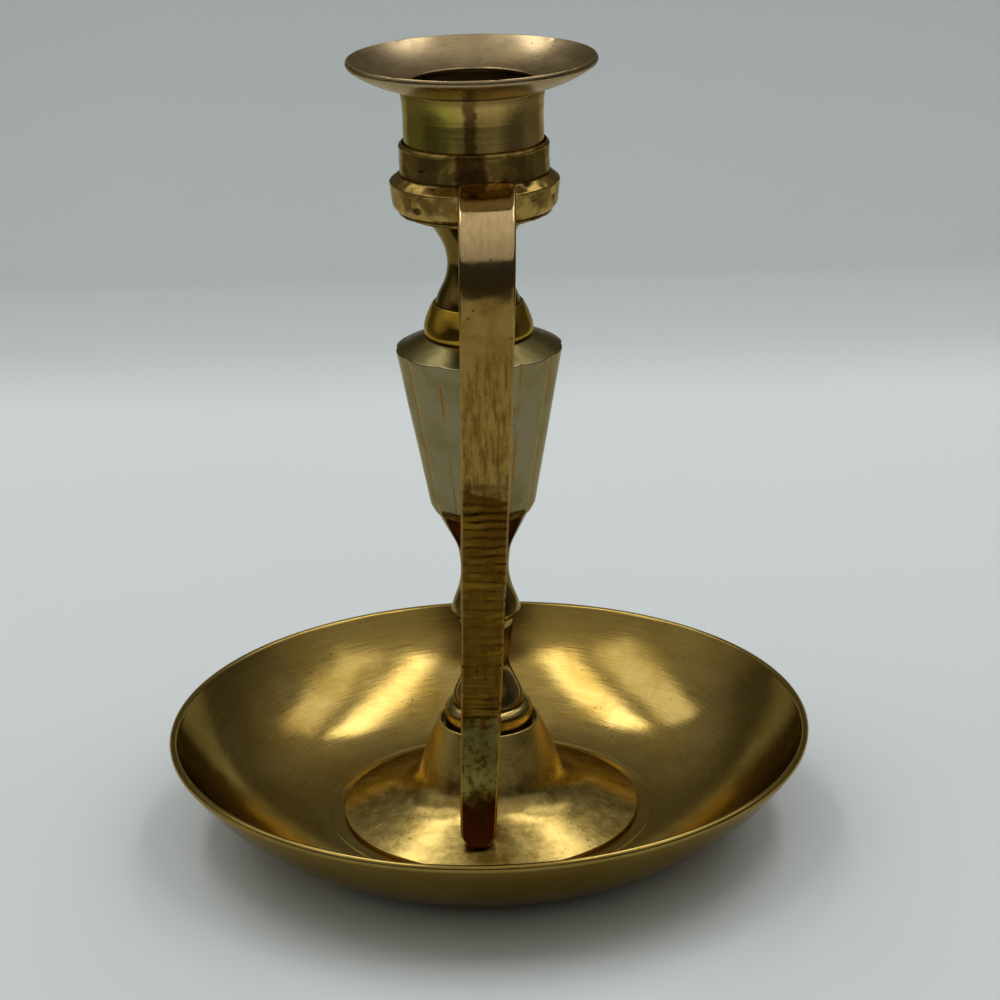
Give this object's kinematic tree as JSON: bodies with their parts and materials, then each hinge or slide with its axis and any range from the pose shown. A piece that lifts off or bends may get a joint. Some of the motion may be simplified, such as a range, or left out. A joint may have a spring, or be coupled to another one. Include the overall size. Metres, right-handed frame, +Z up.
{
  "type": "chamberstick",
  "caption": "Brass chamberstick: a flared candle socket on a slim turned stem over a deep round drip tray, carried by a long strap handle that forms the finger loop.",
  "frame": {"origin": "on the stem's axis at the underside of the tray, where the part stands on the table", "axes": "+Z up along the stem, -Y towards the handle, +X to the right of someone who faces the handle"},
  "size_m": [0.1256, 0.1256, 0.1524],
  "materials": {
    "spun_brass": "brushed, aged",
    "turned_brass": "polished, aged",
    "cast_brass": "filed and tarnished",
    "steel": "plain, dull"
  },
  "bodies": {
    "root": {"tray": "spun_brass", "foot_cone": "turned_brass", "base_spindle": "turned_brass", "taper": "turned_brass", "fluted_urn": "cast_brass", "knop": "turned_brass", "neck": "turned_brass", "handle": "cast_brass", "candle_socket": "turned_brass", "tie_rod": "steel", "tie_washer": "steel", "tie_nut": "steel"}
  },
  "joints": []
}
